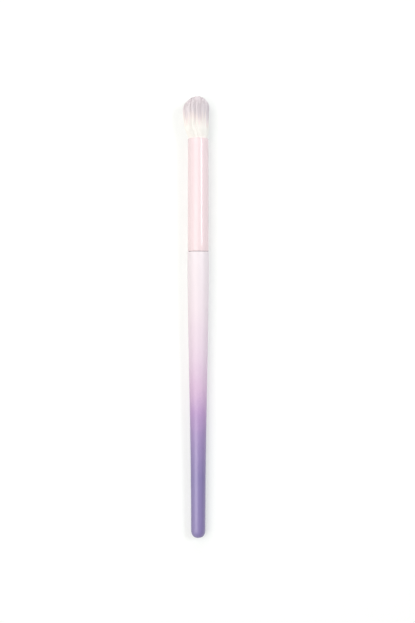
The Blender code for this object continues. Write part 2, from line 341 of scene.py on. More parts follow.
def faded_lacquer(look):
    """Satin spray lacquer over turned wood, with a pearl pigment in its purple.

    Sprayed, so the fade is made of fine drops, 0.1 mm in life and 0.3 mm here so that they show,
    and of clouds 9 mm across, where passes of the gun overlap. Satin, so highlights are broad and
    soft, over a faint orange peel about 1 mm across. The pearl makes the purple end shine more
    than the pale end, so the clear coat thins along the fade.
    """
    finish, tree, shader, places = new_finish("satin_spray_lacquer")
    along = add_node(tree, "ShaderNodeSeparateXYZ", {0: places}).outputs["Y"]
    share = add_node(
        tree,
        "ShaderNodeMapRange",
        {"Value": along, "From Min": BUTT.y, "From Max": BUTT.y + BACK_STATION * AXIS.y},
    ).outputs["Result"]
    drops = add_node(tree, "ShaderNodeTexNoise", {"Vector": places, "Scale": per_metre(0.3), "Detail": 1})
    cloud = add_node(tree, "ShaderNodeTexNoise", {"Vector": places, "Scale": per_metre(9), "Detail": 2})
    spray = add_node(
        tree, "ShaderNodeMath", {0: drops.outputs["Fac"], 1: cloud.outputs["Fac"]}, operation="ADD"
    ).outputs[0]
    # The two noises add up to about 1, so the fade strays by up to 0.06 of the handle either way
    strayed = add_node(
        tree, "ShaderNodeMath", {0: spray, 1: 0.06, 2: -0.06}, operation="MULTIPLY_ADD"
    ).outputs[0]
    sprayed = add_node(tree, "ShaderNodeMath", {0: share, 1: strayed}, operation="ADD").outputs[0]
    fade = add_node(
        tree,
        "ShaderNodeValToRGB",
        {"Fac": sprayed},
        stops=(
            (0.22, look.purple),
            (0.36, look.violet),
            (0.44, look.lilac),
            (0.53, look.mauve),
            (0.62, look.blush),
            (0.80, look.rose),
            (1.00, look.pale),
        ),
    )
    peel = add_node(tree, "ShaderNodeTexNoise", {"Vector": places, "Scale": per_metre(1.1), "Detail": 2})
    roughness = add_node(
        tree, "ShaderNodeMapRange", {"Value": peel.outputs["Fac"], "To Min": 0.36, "To Max": 0.46}
    )
    bump = add_node(
        tree, "ShaderNodeBump", {"Height": peel.outputs["Fac"], "Strength": 0.25, "Distance": 0.006 * MM}
    )
    gloss = add_node(
        tree,
        "ShaderNodeMapRange",
        {"Value": sprayed, "From Min": 0.15, "From Max": 0.65, "To Min": 1, "To Max": 0.2},
        interpolation_type="SMOOTHSTEP",
    )
    tree.links.new(fade.outputs["Color"], shader.inputs["Base Color"])
    tree.links.new(roughness.outputs["Result"], shader.inputs["Roughness"])
    tree.links.new(bump.outputs["Normal"], shader.inputs["Normal"])
    tree.links.new(gloss.outputs["Result"], shader.inputs["Coat Weight"])
    # The coat does the shining. Lacquer's own IOR is 1.5, and with its pearl it mirrors as if it were 2.2
    shader.inputs["Specular IOR Level"].default_value = 0.1
    shader.inputs["Coat Roughness"].default_value = 0.43
    shader.inputs["Coat IOR"].default_value = 2.2
    return finish


def bare_wood():
    """Bare turned birch, on the tenon: pale, matt, with fine long pores along the grain."""
    finish, tree, shader, places = new_finish("bare_birch")
    stretched = add_node(tree, "ShaderNodeMapping", {"Vector": places, "Scale": (1, 0.06, 1)})
    grain = add_node(
        tree,
        "ShaderNodeTexNoise",
        {"Vector": stretched.outputs["Vector"], "Scale": per_metre(0.35), "Detail": 4},
    ).outputs["Fac"]
    stops = ((0.35, linear("d2b58b")), (0.65, linear("e6cfa8")))
    from_pattern(tree, shader, grain, stops, strength=0.4, depth=0.02 * MM, roughness=0.7)
    return finish


def lacquered_metal(look):
    """Drawn aluminium tube under a nearly opaque pink lacquer, with a clear one over it.

    Drawn, so faint lines run along the tube, 0.12 mm apart. The pink hides the metal's own shine,
    so the shader isn't metallic: the sharp streak comes from the clear lacquer, and the soft shine
    under it from the pink. Its fine pearl, 0.15 mm here so that it shows, shimmers a little.
    """
    finish, tree, shader, places = new_finish("pink_lacquered_aluminium")
    stretched = add_node(tree, "ShaderNodeMapping", {"Vector": places, "Scale": (1, 0.002, 1)})
    drawn = add_node(
        tree,
        "ShaderNodeTexNoise",
        {"Vector": stretched.outputs["Vector"], "Scale": per_metre(0.12), "Detail": 2},
    )
    pearl = add_node(tree, "ShaderNodeTexVoronoi", {"Vector": places, "Scale": per_metre(0.15)})
    shimmer = add_node(tree, "ShaderNodeSeparateXYZ", {0: pearl.outputs["Color"]}).outputs["X"]
    mixed = add_node(
        tree, "ShaderNodeMath", {0: shimmer, 1: drawn.outputs["Fac"]}, operation="ADD"
    ).outputs[0]
    level = add_node(
        tree, "ShaderNodeMapRange", {"Value": mixed, "From Max": 2, "To Min": 0.96, "To Max": 1.03}
    ).outputs["Result"]
    colour = add_node(
        tree, "ShaderNodeVectorMath", {0: look.pink, "Scale": level}, operation="SCALE"
    ).outputs[0]
    roughness = add_node(
        tree, "ShaderNodeMapRange", {"Value": drawn.outputs["Fac"], "To Min": 0.30, "To Max": 0.46}
    )
    bump = add_node(
        tree, "ShaderNodeBump", {"Height": drawn.outputs["Fac"], "Strength": 0.2, "Distance": 0.0015 * MM}
    )
    tree.links.new(colour, shader.inputs["Base Color"])
    tree.links.new(roughness.outputs["Result"], shader.inputs["Roughness"])
    tree.links.new(bump.outputs["Normal"], shader.inputs["Normal"])
    shader.inputs["Specular IOR Level"].default_value = 0.1
    shader.inputs["Coat Weight"].default_value = 0.65
    shader.inputs["Coat Roughness"].default_value = 0.09
    return finish


# A hair's map: its column says how much dye it took, with the partings' painted shade, and how high the dye
# begins, its row is its reach
TONES = 12
DYE_LEVELS = 8
ROW_START = 1.0 * MM
ROW_SPAN = 18.5 * MM
MAP_MARGIN = 0.1
MAP_NAME = "OFBake"

# In millimetres of reach: where the lowest dye begins, how much higher it may begin, and how long it thickens
DYE_START = 1.8
DYE_STRAY = 5.2
DYE_FADE = 6.0


def dyed_filament(look):
    """Soft synthetic filament, extruded and tapered, with its tips dip-dyed.

    The dye wicks up some hairs further than others, so it ends in streaks. Fine filament
    scatters light, so the hair is matt with a faint sheen.
    """
    finish, tree, shader, _ = new_finish("dip_dyed_filament")
    hair_map = add_node(tree, "ShaderNodeUVMap", {}, uv_map=MAP_NAME)
    axes = add_node(tree, "ShaderNodeSeparateXYZ", {0: hair_map.outputs["UV"]})
    column = add_node(
        tree, "ShaderNodeMath", {0: axes.outputs["X"], 1: TONES}, operation="MULTIPLY"
    ).outputs[0]
    tone = add_node(tree, "ShaderNodeMath", {0: column}, operation="FLOOR").outputs[0]
    tone = add_node(tree, "ShaderNodeMath", {0: tone, 1: TONES - 1}, operation="DIVIDE").outputs[0]
    wicked = add_node(tree, "ShaderNodeMath", {0: column}, operation="FRACT").outputs[0]
    reach = add_node(
        tree,
        "ShaderNodeMath",
        {0: axes.outputs["Y"], 1: ROW_SPAN / MM, 2: -ROW_START / MM},
        operation="MULTIPLY_ADD",
    ).outputs[0]
    start = add_node(
        tree, "ShaderNodeMath", {0: wicked, 1: DYE_STRAY, 2: DYE_START}, operation="MULTIPLY_ADD"
    ).outputs[0]
    end = add_node(tree, "ShaderNodeMath", {0: start, 1: DYE_FADE}, operation="ADD").outputs[0]
    dyed = add_node(
        tree,
        "ShaderNodeMapRange",
        {"Value": reach, "From Min": start, "From Max": end},
        interpolation_type="SMOOTHSTEP",
    ).outputs["Result"]
    pale = add_node(
        tree,
        "ShaderNodeValToRGB",
        {"Fac": dyed},
        stops=((0, look.cream), (0.4, look.blush), (1, look.tip)),
    )
    dark = add_node(
        tree,
        "ShaderNodeValToRGB",
        {"Fac": dyed},
        stops=((0, look.cream), (0.55, look.blush), (1, look.dark_tip)),
    )
    # The tone mixes in the darker tips: more dye, and along the partings painted shade
    colour = add_node(
        tree,
        "ShaderNodeMix",
        {0: tone, 6: pale.outputs["Color"], 7: dark.outputs["Color"]},
        data_type="RGBA",
    )
    tree.links.new(colour.outputs[2], shader.inputs["Base Color"])
    shader.inputs["Roughness"].default_value = 0.6
    shader.inputs["Specular IOR Level"].default_value = 0.3
    shader.inputs["Sheen Weight"].default_value = 0.15
    return finish


def soaked_hair():
    """Hair soaked in epoxy: the root of the bundle, amber between pale hairs.

    The hairs are 0.12 mm thick, and 0.2 mm here so that they show. The epoxy makes them glossy.
    """
    finish, tree, shader, places = new_finish("epoxy_soaked_hair")
    stretched = add_node(tree, "ShaderNodeMapping", {"Vector": places, "Scale": (1, 0.03, 1)})
    hairs = add_node(
        tree,
        "ShaderNodeTexNoise",
        {"Vector": stretched.outputs["Vector"], "Scale": per_metre(0.2), "Detail": 2},
    ).outputs["Fac"]
    stops = ((0.4, linear("d9c08c")), (0.6, linear("f7eedb")))
    from_pattern(tree, shader, hairs, stops, strength=0.5, depth=0.03 * MM, roughness=0.3)
    return finish


def waxed_cotton():
    """Waxed cotton thread: two plies twisted together, 0.15 mm from twist to twist, with a dull shine."""
    finish, tree, shader, places = new_finish("waxed_cotton")
    turned_up = add_node(tree, "ShaderNodeMapping", {"Vector": places, "Rotation": (0.6, 0, 0.6)})
    twist = add_node(
        tree,
        "ShaderNodeTexWave",
        {"Vector": turned_up.outputs["Vector"], "Scale": per_metre(0.15) / math.tau, "Distortion": 1},
        bands_direction="Y",
    ).outputs["Fac"]
    stops = ((0, linear("d8cdb4")), (1, linear("f3ecda")))
    from_pattern(tree, shader, twist, stops, strength=0.6, depth=0.03 * MM, roughness=0.75)
    return finish


def set_resin(name, dark, light, bubble, roughness):
    """Cast resin or glue that set where it was poured, with small bubbles just under its skin.

    The bubbles are so many millimetres apart and show lighter. Epoxy sets glossy, and glue satin.
    """
    finish, tree, shader, places = new_finish(name)
    bubbles = add_node(
        tree, "ShaderNodeTexVoronoi", {"Vector": places, "Scale": per_metre(bubble)}
    ).outputs["Distance"]
    stops = ((0.1, linear(light)), (0.5, linear(dark)))
    from_pattern(tree, shader, bubbles, stops, strength=0.3, depth=0.02 * MM, roughness=roughness)
    return finish


# The handle

# Its side swells in a cubic curve from butt to belly: where the curve's two inner points lie, as
# shares of its run and of its rise
SWELL_RUN_SHARES = (0.45, 0.70)
SWELL_RISE_SHARES = (0.10, 0.85)
SWELL_STEPS = 32
BUTT_STEPS = 12
BELLY_STEPS = 6
SHOULDER_STEPS = 6
GROOVE_SHARES = (0.27, 0.73)
HANDLE_EASE = 0.04 * MM


def cubic(share, first, second):
    """A cubic curve from 0 to 1, at a share of its way, drawn towards two inner points."""
    return 3 * (1 - share) ** 2 * share * first + 3 * (1 - share) * share ** 2 * second + share ** 3


def handle_outline(size):
    """The handle's outline, from the butt face up its side and over the shoulder to the tenon's end."""
    shoulder = BACK_STATION - size.joint_gap
    shoulder_radius = FERRULE_RADIUS + size.shoulder_step
    belly = shoulder - size.belly_setback
    outline = arc(
        (size.butt_face_radius, size.butt_round),
        (size.butt_radius - size.butt_face_radius, size.butt_round),
        -90,
        0,
        BUTT_STEPS,
    )
    rise = BELLY_RADIUS - size.butt_radius
    run = belly - size.butt_round
    for step in range(1, SWELL_STEPS + 1):
        share = step / SWELL_STEPS
        along = cubic(share, *SWELL_RUN_SHARES)
        out = cubic(share, *SWELL_RISE_SHARES)
        outline.append((size.butt_radius + rise * out, size.butt_round + run * along))
    edge = shoulder - size.shoulder_round
    for step in range(1, BELLY_STEPS):
        share = step / BELLY_STEPS
        radius = BELLY_RADIUS - (BELLY_RADIUS - shoulder_radius) * share ** 2
        outline.append((radius, belly + (edge - belly) * share))
    round_centre = (shoulder_radius - size.shoulder_round, edge)
    outline += arc(round_centre, (size.shoulder_round, size.shoulder_round), 0, 90, SHOULDER_STEPS)
    outline.append((size.tenon_radius, shoulder))
    outline.append((size.tenon_radius, shoulder + size.overspray))
    tenon = TENON_STATION - shoulder
    for share in GROOVE_SHARES:
        middle = shoulder + tenon * share
        lip = size.groove_width / 2
        floor = lip - size.groove_depth
        outline += [
            (size.tenon_radius, middle - lip),
            (size.tenon_radius - size.groove_depth, middle - floor),
            (size.tenon_radius - size.groove_depth, middle + floor),
            (size.tenon_radius, middle + lip),
        ]
    outline.append((size.tenon_radius, TENON_STATION - size.tenon_chamfer))
    outline.append((size.tenon_radius - size.tenon_chamfer, TENON_STATION))
    return outline


class BRUSH_OT_handle(Operator):
    """Turn the handle, with its tenon, and lacquer it"""

    bl_idname = "makeup_brush.handle"
    bl_label = "Handle"

    def execute(self, context):
        size = context.scene.brush_handle
        handle = turned("lacquered_handle", handle_outline(size))
        eased(handle, HANDLE_EASE)
        lay_down(handle, faded_lacquer(size), bare_wood())
        bare_from = BUTT.y + (BACK_STATION - size.joint_gap + size.overspray) * AXIS.y
        for face in handle.data.polygons:
            face.material_index = int(face.center.y > bare_from)
        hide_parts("handle")
        return {"FINISHED"}


# The ferrule

BACK_EDGE_STEPS = 5
TUBE_STEPS = 12
LIP_STEPS = 10


class BRUSH_OT_ferrule(Operator):
    """Draw the ferrule's tube, with its rounded mouth and back"""

    bl_idname = "makeup_brush.ferrule"
    bl_label = "Ferrule"

    def execute(self, context):
        size = context.scene.brush_ferrule
        wall = size.mouth_radius - BORE_RADIUS
        edge = size.back_round
        back_bore = FERRULE_RADIUS - wall
        lip = (size.mouth_radius - wall / 2, MOUTH_STATION - wall / 2)
        outline = [(back_bore, BACK_STATION + edge)]
        inner_edge = (back_bore + edge, BACK_STATION + edge)
        outer_edge = (FERRULE_RADIUS - edge, BACK_STATION + edge)
        outline += arc(inner_edge, (edge, edge), 180, 270, BACK_EDGE_STEPS)[1:]
        outline += arc(outer_edge, (edge, edge), 270, 360, BACK_EDGE_STEPS)
        foot, top = outline[-1][1], lip[1]
        for step in range(1, TUBE_STEPS):
            share = step / TUBE_STEPS
            radius = FERRULE_RADIUS + (size.mouth_radius - FERRULE_RADIUS) * share
            outline.append((radius, foot + (top - foot) * share))
        outline += arc(lip, (wall / 2, wall / 2), 0, 180, LIP_STEPS)
        outline.append(outline[0])
        ferrule = turned("lacquered_ferrule", outline)
        select_only(ferrule)
        bpy.ops.object.shade_smooth_by_angle(angle=math.radians(40))
        lay_down(ferrule, lacquered_metal(size))
        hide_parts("ferrule")
        return {"FINISHED"}


# The tuft

# Shares of the barrel's length, and there of the spread from root to full and of the lean
BARREL_SHARES = (0, 0.19, 0.33, 0.50, 0.66, 0.83, 1)
SPREAD_SHARES = (0, 0.52, 0.70, 0.80, 0.86, 0.92, 1)
LEAN_SHARES = (0, 0.20, 0.56, 0.76, 0.84, 0.93, 1)
LEAN_KEPT_AT_TIP = 0.2

# Two narrow partings, seen from above, are painted shade: how much darker the hair is coloured there in place
# of the shade in the partings, at shares of the radius
PAINTED_SHADE_PLACES = (-0.47, -0.41, -0.35, 0.28, 0.36, 0.44)
PAINTED_SHADE_TONES = (0.0, 1.1, 0.0, 0.0, 0.5, 0.0)

# The hairs gather into locks, and in finer strands that cross them: how many, and how hard they pull
SCATTER_SEED = 18
LOCKS = 64
STRANDS = 420
LOCK_PULLS = (0.04, 0.26)
STRAND_PULLS = (0.1, 0.5)

# How far hairs and locks stray from even spacing, as shares of it
HAIR_STRAY = 0.35
CLUMP_STRAY = 0.5

# Shares of the bundle's radius: how far a lock and a hair bend aside, and how the tips draw together
LOCK_BEND = 0.016
HAIR_BEND = 0.018
TIPS_DRAWN_IN = 0.04

# In millimetres: how far a lock, a strand and a hair fall short of the dome. Some hairs are shorter still.
LOCK_RAGGED = 0.25
STRAND_RAGGED = 0.3
HAIR_RAGGED = 0.2
SHORT_SHARE = 0.1
SHORT_BY = (0.3, 1.8)

# How much dye a lock and a strand took, from 0 to 1, what share of a parting's painted shade a hair takes,
# and how much each hair differs. The dye's height follows the lock in part, and the strand in part.
LOCK_TONES = (0.08, 0.36)
STRAND_TONE = 0.2
PAINTED_SHADE_SHARES = (0.4, 1)
TONE_STRAY = 0.05
LOCK_WICKS = 0.4
STRAND_WICKS = 0.6
WICK_STRAY = 0.15

# A share of the hairs stands out of the bundle, by up to so much of its radius
ASTRAY_SHARE = 0.12
ASTRAY_MOST = 0.04

# Each hair turns a face away from a line so many radii below the axis, so that the bundle catches the
# light as one, but for a stray in radians. One face of the unit hair looks 30 degrees off X.
FACING_LINE = 1.1
FACE_OF_UNIT_HAIR = math.radians(30)
TURN_STRAY = 0.4

# How deep the hairs are set in the root, and how thick they are, as shares of their set radius
HAIR_INSET = 0.5 * MM
FINEST_HAIR = 0.85
THICKEST_HAIR = 1.15

# Shares of a hair's length, and its width there: it tapers only a little, to a blunt end
HAIR_SHARES = (0, 0.07, 0.16, 0.3, 0.48, 0.66, 0.82, 0.94, 0.997)
HAIR_WIDTHS = (1, 1, 1, 1, 1, 1, 0.97, 0.93, 0.87)

# The glued root keeps the solid's clearance round the thread, and ends just inside the mouth
THREAD_CLEARANCE = 0.12 * MM
ROOT_SLOPE = 0.6 * MM
ROOT_TOP_INSET = 0.25 * MM
ROOT_EASE = 0.1 * MM


def unit_hair():
    """One hair at unit length and radius: its corners, and its faces with their places on the map."""
    hair = turned("hair", [*zip(HAIR_WIDTHS, HAIR_SHARES), (0, 1)], sides=3)
    corners = np.array([vert.co for vert in hair.data.vertices])
    faces = [list(face.vertices) for face in hair.data.polygons]
    turns = np.arctan2(corners[:, 1], corners[:, 0]) / math.tau
    places = []
    for face in faces:
        middle = corners[face].mean(axis=0)
        side = math.atan2(middle[1], middle[0]) / math.tau
        for corner in face:
            away = (turns[corner] - side + 0.5) % 1 - 0.5
            pointed = math.hypot(*corners[corner][:2]) < 0.01
            places.append((side % 1 if pointed else side % 1 + away, corners[corner][2]))
    bpy.data.objects.remove(hair)
    return corners, faces, np.array(places)


def spread_evenly(count, scatter, stray):
    """Spots spread evenly over a disc of unit radius, each strayed by a share of their spacing."""
    number = np.arange(count)
    radius = np.sqrt((number + 0.5) / count)
    angle = number * math.pi * (3 - math.sqrt(5))
    spots = np.stack((radius * np.cos(angle), radius * np.sin(angle)), axis=1)
    spots += scatter.normal(0, stray * math.sqrt(math.pi / count), spots.shape)
    return spots / np.maximum(np.linalg.norm(spots, axis=1), 1)[:, None]


def nearest(spots, others):
    """For each spot, the number of the other spot that lies nearest."""
    return np.linalg.norm(spots[:, None] - others[None], axis=2).argmin(axis=1)


def in_tuft(size, spots, reaches):
    """Where spots of the bundle's section, in a disc of unit radius, lie at their reaches."""
    root = THREAD_RADIUS - size.hair_radius
    barrel = TUFT_LENGTH - size.crown_height
    along = np.clip(reaches / barrel, 0, 1)
    radius = root + (size.tuft_radius - root) * np.interp(along, BARREL_SHARES, SPREAD_SHARES)
    lean = np.interp(along, BARREL_SHARES, LEAN_SHARES)
    crown = np.clip((reaches - barrel) / size.crown_height, 0, 1)
    lean = lean * (1 - (1 - LEAN_KEPT_AT_TIP) * crown)
    # The underside is pressed flat: each column of hair shortens until it ends on the table
    stations = MOUTH_STATION + reaches
    table = -(BUTT.z + AXIS.z * stations) / DOWN.z - THICKEST_HAIR * size.hair_radius
    low = radius * np.sqrt(np.clip(1 - spots[..., 0] ** 2, 0.0001, 1))
    press = np.where(spots[..., 1] > 0, np.minimum(1, (table - size.sag * lean) / low), 1)
    across = radius * spots[..., 0] - size.lean * lean
    down = np.minimum(radius * spots[..., 1] * press + size.sag * lean, table)
    return np.stack((across, down, stations), axis=-1)


class Bundle:
    """The hairs of the tuft: where each grows, its lock and strand, its length, dye and painted shade, width
    and turn.

    Its spots lie in a disc of unit radius, with +Y towards the table. Whatever is drawn at random
    is drawn in the order that stands here, because another order makes another tuft.
    """

    def __init__(self, size):
        scatter = np.random.default_rng(SCATTER_SEED)
        self.size = size
        self.spots = spread_evenly(size.hairs, scatter, HAIR_STRAY)
        count = len(self.spots)
        locks = spread_evenly(LOCKS, scatter, CLUMP_STRAY)
        lock = nearest(self.spots, locks)
        strands = spread_evenly(STRANDS, scatter, CLUMP_STRAY)
        strand = nearest(self.spots, strands)
        self.pulls = (
            (locks[lock], scatter.uniform(*LOCK_PULLS, LOCKS)[lock]),
            (strands[strand], scatter.uniform(*STRAND_PULLS, STRANDS)[strand]),
        )
        lock_bend = scatter.normal(0, LOCK_BEND, (LOCKS, 2))[lock]
        self.bend = lock_bend + scatter.normal(0, HAIR_BEND, (count, 2))
        self.tips = self.lengths(scatter, lock, strand)
        self.tone = self.tones(scatter, lock, strand)
        self.dye = self.dye_heights(scatter, lock, strand)
        self.width = scatter.uniform(FINEST_HAIR, THICKEST_HAIR, count)
        stands_out = scatter.random(count) < ASTRAY_SHARE
        self.astray = np.where(stands_out, scatter.uniform(0, ASTRAY_MOST, count), 0)
        outwards = np.arctan2(self.spots[:, 1] - FACING_LINE, self.spots[:, 0])
        self.turn = outwards - FACE_OF_UNIT_HAIR + scatter.normal(0, TURN_STRAY, count)

    def lengths(self, scatter, lock, strand):
        """The reach of each hair's tip, on the dome where its lock leads it or a little short of it."""
        count = len(self.spots)
        crown = np.full(count, TUFT_LENGTH)
        # Where a hair ends depends on how far it is led, so a few rounds close in on the place
        for _ in range(5):
            led = self.gathered(np.arange(count), crown[:, None] / TUFT_LENGTH)[:, 0]
            out = np.clip(1 - (led ** 2).sum(axis=1), 0, 1)
            crown = TUFT_LENGTH - self.size.crown_height * (1 - np.sqrt(out))
        short = np.where(scatter.random(count) < SHORT_SHARE, scatter.uniform(*SHORT_BY, count), 0)
        lock_ragged = scatter.uniform(0, LOCK_RAGGED, LOCKS)[lock]
        ragged = lock_ragged + scatter.uniform(0, STRAND_RAGGED, STRANDS)[strand]
        return crown - (scatter.uniform(0, HAIR_RAGGED, count) + ragged + short) * MM

    def tones(self, scatter, lock, strand):
        """How much dye each hair took, with painted shade added along the partings, as one of the map's
        tones.
        """
        count = len(self.spots)
        lock_tone = scatter.uniform(*LOCK_TONES, LOCKS)[lock]
        clump_tone = lock_tone + scatter.uniform(0, STRAND_TONE, STRANDS)[strand]
        # The partings are painted shade: darker hair runs through the hair that faces up, and fades out at
        # its sides
        above = np.clip(0.2 - 2 * self.spots[:, 1], 0, 1)
        painted_shade = np.interp(self.spots[:, 0], PAINTED_SHADE_PLACES, PAINTED_SHADE_TONES) * above
        tone = clump_tone + painted_shade * scatter.uniform(*PAINTED_SHADE_SHARES, count)
        tone = tone + scatter.normal(0, TONE_STRAY, count)
        return np.clip(tone * TONES, 0, TONES - 1).astype(int)

    def dye_heights(self, scatter, lock, strand):
        """How high the dye begins on each hair, as one of the map's levels."""
        lock_wicks = LOCK_WICKS * scatter.random(LOCKS)[lock]
        wicked = lock_wicks + STRAND_WICKS * scatter.random(STRANDS)[strand]
        wicked = wicked + scatter.normal(0, WICK_STRAY, len(self.spots))
        return np.clip(wicked * DYE_LEVELS, 0, DYE_LEVELS - 1).astype(int)

    def gathered(self, chosen, grown):
        """Where the chosen hairs lie in the bundle's section, at shares of the tuft's length.

        The pulls and bends grow towards the tips, and the tips draw together only near their ends.
        """
        spots = self.spots[chosen][:, None] * (1 - TIPS_DRAWN_IN * grown ** 6)[..., None]
        for clump, pull in self.pulls:
            towards = (clump - self.spots)[chosen][:, None]
            spots = spots + towards * (pull[chosen][:, None] * grown ** 1.5)[..., None]
        return spots + self.bend[chosen][:, None] * (grown ** 2)[..., None]

    def hairs(self, name, chosen, finish):
        """A piece of the chosen hairs, each a copy of one hair laid along its own path."""
        corners, faces, places = unit_hair()
        size, count = self.size, len(chosen)
        tips = self.tips[chosen][:, None]
        reaches = tips * corners[:, 2] - HAIR_INSET * (1 - corners[:, 2])
        grown = np.clip(reaches / TUFT_LENGTH, 0, 1)
        spots = self.gathered(chosen, grown)
        out = 1 + self.astray[chosen][:, None] * grown
        spots = spots * (out / np.maximum(np.linalg.norm(spots, axis=2), 1))[..., None]
        middles = in_tuft(size, spots, reaches)
        cos, sin = np.cos(self.turn[chosen])[:, None], np.sin(self.turn[chosen])[:, None]
        width = size.hair_radius * self.width[chosen][:, None]
        middles[..., 0] += width * (corners[:, 0] * cos - corners[:, 1] * sin)
        middles[..., 1] += width * (corners[:, 0] * sin + corners[:, 1] * cos)
        mesh = bpy.data.meshes.new(name)
        shifts = range(0, count * len(corners), len(corners))
        all_faces = [[shift + corner for corner in face] for shift in shifts for face in faces]
        mesh.from_pydata(middles.reshape(-1, 3).tolist(), [], all_faces)
        column = (self.tone[chosen] * DYE_LEVELS + self.dye[chosen])[:, None]
        in_column = MAP_MARGIN + (1 - 2 * MAP_MARGIN) * places[:, 0]
        across = (column + in_column) / (TONES * DYE_LEVELS)
        along = (reaches[:, np.concatenate(faces)] + ROW_START) / ROW_SPAN
        hair_map = mesh.uv_layers.new(name=MAP_NAME)
        hair_map.uv.foreach_set("vector", np.stack((across, along), axis=-1).astype(np.float32).ravel())
        piece = bpy.data.objects.new(name, mesh)
        bpy.context.collection.objects.link(piece)
        lay_down(piece, finish)
        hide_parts("hair_tuft")


def root_outline():
    """The outline of the glued root, which is drawn in where the thread ties it."""
    waist = THREAD_CORE - THREAD_CLEARANCE
    return [
        (THREAD_RADIUS, ROOT_STATION),
        (THREAD_RADIUS, THREAD_STATION - ROOT_SLOPE),
        (waist, THREAD_STATION),
        (waist, THREAD_TOP),
        (THREAD_RADIUS, THREAD_TOP + ROOT_SLOPE),
        (THREAD_RADIUS, MOUTH_STATION - ROOT_TOP_INSET),
    ]


class BRUSH_OT_tuft(Operator):
    """Lay the tuft's hairs, and the glued root that they grow from"""

    bl_idname = "makeup_brush.tuft"
    bl_label = "Tuft"

    def execute(self, context):
        size = context.scene.brush_tuft
        root = turned("hair_root", root_outline())
        eased(root, ROOT_EASE)
        lay_down(root, soaked_hair())
        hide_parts("hair_tuft")
        bundle = Bundle(size)
        finish = dyed_filament(size)
        # Spots are numbered from the middle outwards, so this parts the bundle into sleeves
        sleeves = ("hair_core", "hair_middle", "hair_mantle")
        parts = np.array_split(np.arange(len(bundle.spots)), len(sleeves))
        for name, chosen in zip(sleeves, parts):
            bundle.hairs(name, chosen, finish)
        return {"FINISHED"}


# What is hidden in the ferrule

THREAD_TURNS = 3
THREAD_SIDES = 12
STEPS_A_TURN = 64


class BRUSH_OT_binding(Operator):
    """Wind the thread round the root, and finish the epoxy and the glue"""

    bl_idname = "makeup_brush.binding"
    bl_label = "Thread, epoxy and glue"

    def execute(self, context):
        # A coil of so many turns, each beside the last, is one thread longer than its turns
        thread = (THREAD_TOP - THREAD_STATION) / (THREAD_TURNS + 1)
        middle = (THREAD_RADIUS - thread / 2, 0, THREAD_STATION + thread / 2)
        nothing_selected()
        bpy.ops.mesh.primitive_circle_add(
            vertices=THREAD_SIDES, radius=thread / 2, location=middle, rotation=(math.pi / 2, 0, 0)
        )
        winding = context.object
        winding.name = winding.data.name = "wound_thread"
        bpy.ops.object.transform_apply(location=True, rotation=True, scale=True)
        wind = winding.modifiers.new("Wind", "SCREW")
        wind.steps = wind.render_steps = STEPS_A_TURN
        wind.iterations = THREAD_TURNS
        wind.screw_offset = thread
        bpy.ops.object.modifier_apply(modifier=wind.name)
        bpy.ops.object.mode_set(mode="EDIT")
        bpy.ops.mesh.select_all(action="DESELECT")
        bpy.ops.mesh.select_non_manifold(extend=False)
        bpy.ops.mesh.fill_holes(sides=0)
        bpy.ops.mesh.poke()
        bpy.ops.mesh.select_all(action="SELECT")
        bpy.ops.mesh.normals_make_consistent(inside=False)
        bpy.ops.object.mode_set(mode="OBJECT")
        bpy.ops.object.shade_smooth_by_angle(angle=math.radians(50))
        lay_down(winding, waxed_cotton())
        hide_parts("hair_tie_thread")
        for node, finish in (
            ("glue_plug", set_resin("amber_epoxy", "b98a3e", "e3bf7c", 0.9, 0.15)),
            ("tenon_glue", set_resin("white_wood_glue", "e6dfc9", "f6f2e6", 0.6, 0.45)),
        ):
            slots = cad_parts[node].data.materials
            slots.clear()
            slots.append(finish)
        return {"FINISHED"}


# The stage

# Each lamp's direction from the brush, its size across and along the brush, and its colour. The broad
# one is a little warm. The small one is a little cool, and makes the narrow streak on the ferrule.
LAMPS = {
    "broad_lamp": ((-0.45, 0.1, 0.89), 0.56, 0.95, "fffbf7"),
    "side_lamp": ((0.6, 0.205, 0.77), 0.20, 0.30, "f2f6fd"),
    "end_lamp": ((0, 0.94, 0.34), 0.5, 0.5, "ffffff"),
}

# Where the lens stands over the brush, so that it lies in the frame as in the photograph
CAMERA_X = 4.27 * MM
CAMERA_Y = 2.19 * MM

# The floor's paper, as it lights the brush and as the camera sees it, and how far off it ends in white
PALE_PAPER = "f6f6f6"
GREYER_PAPER = "cacdca"
PAPER_ENDS = (0.15, 0.6)


def seen_directly(tree, path):
    """1 for what the camera sees, straight or mirrored or through glass, and 0 for what lights the brush."""
    seen = path.outputs["Is Camera Ray"]
    for ray in ("Is Glossy Ray", "Is Transmission Ray"):
        seen = add_node(
            tree, "ShaderNodeMath", {0: seen, 1: path.outputs[ray]}, operation="MAXIMUM"
        ).outputs[0]
    return seen


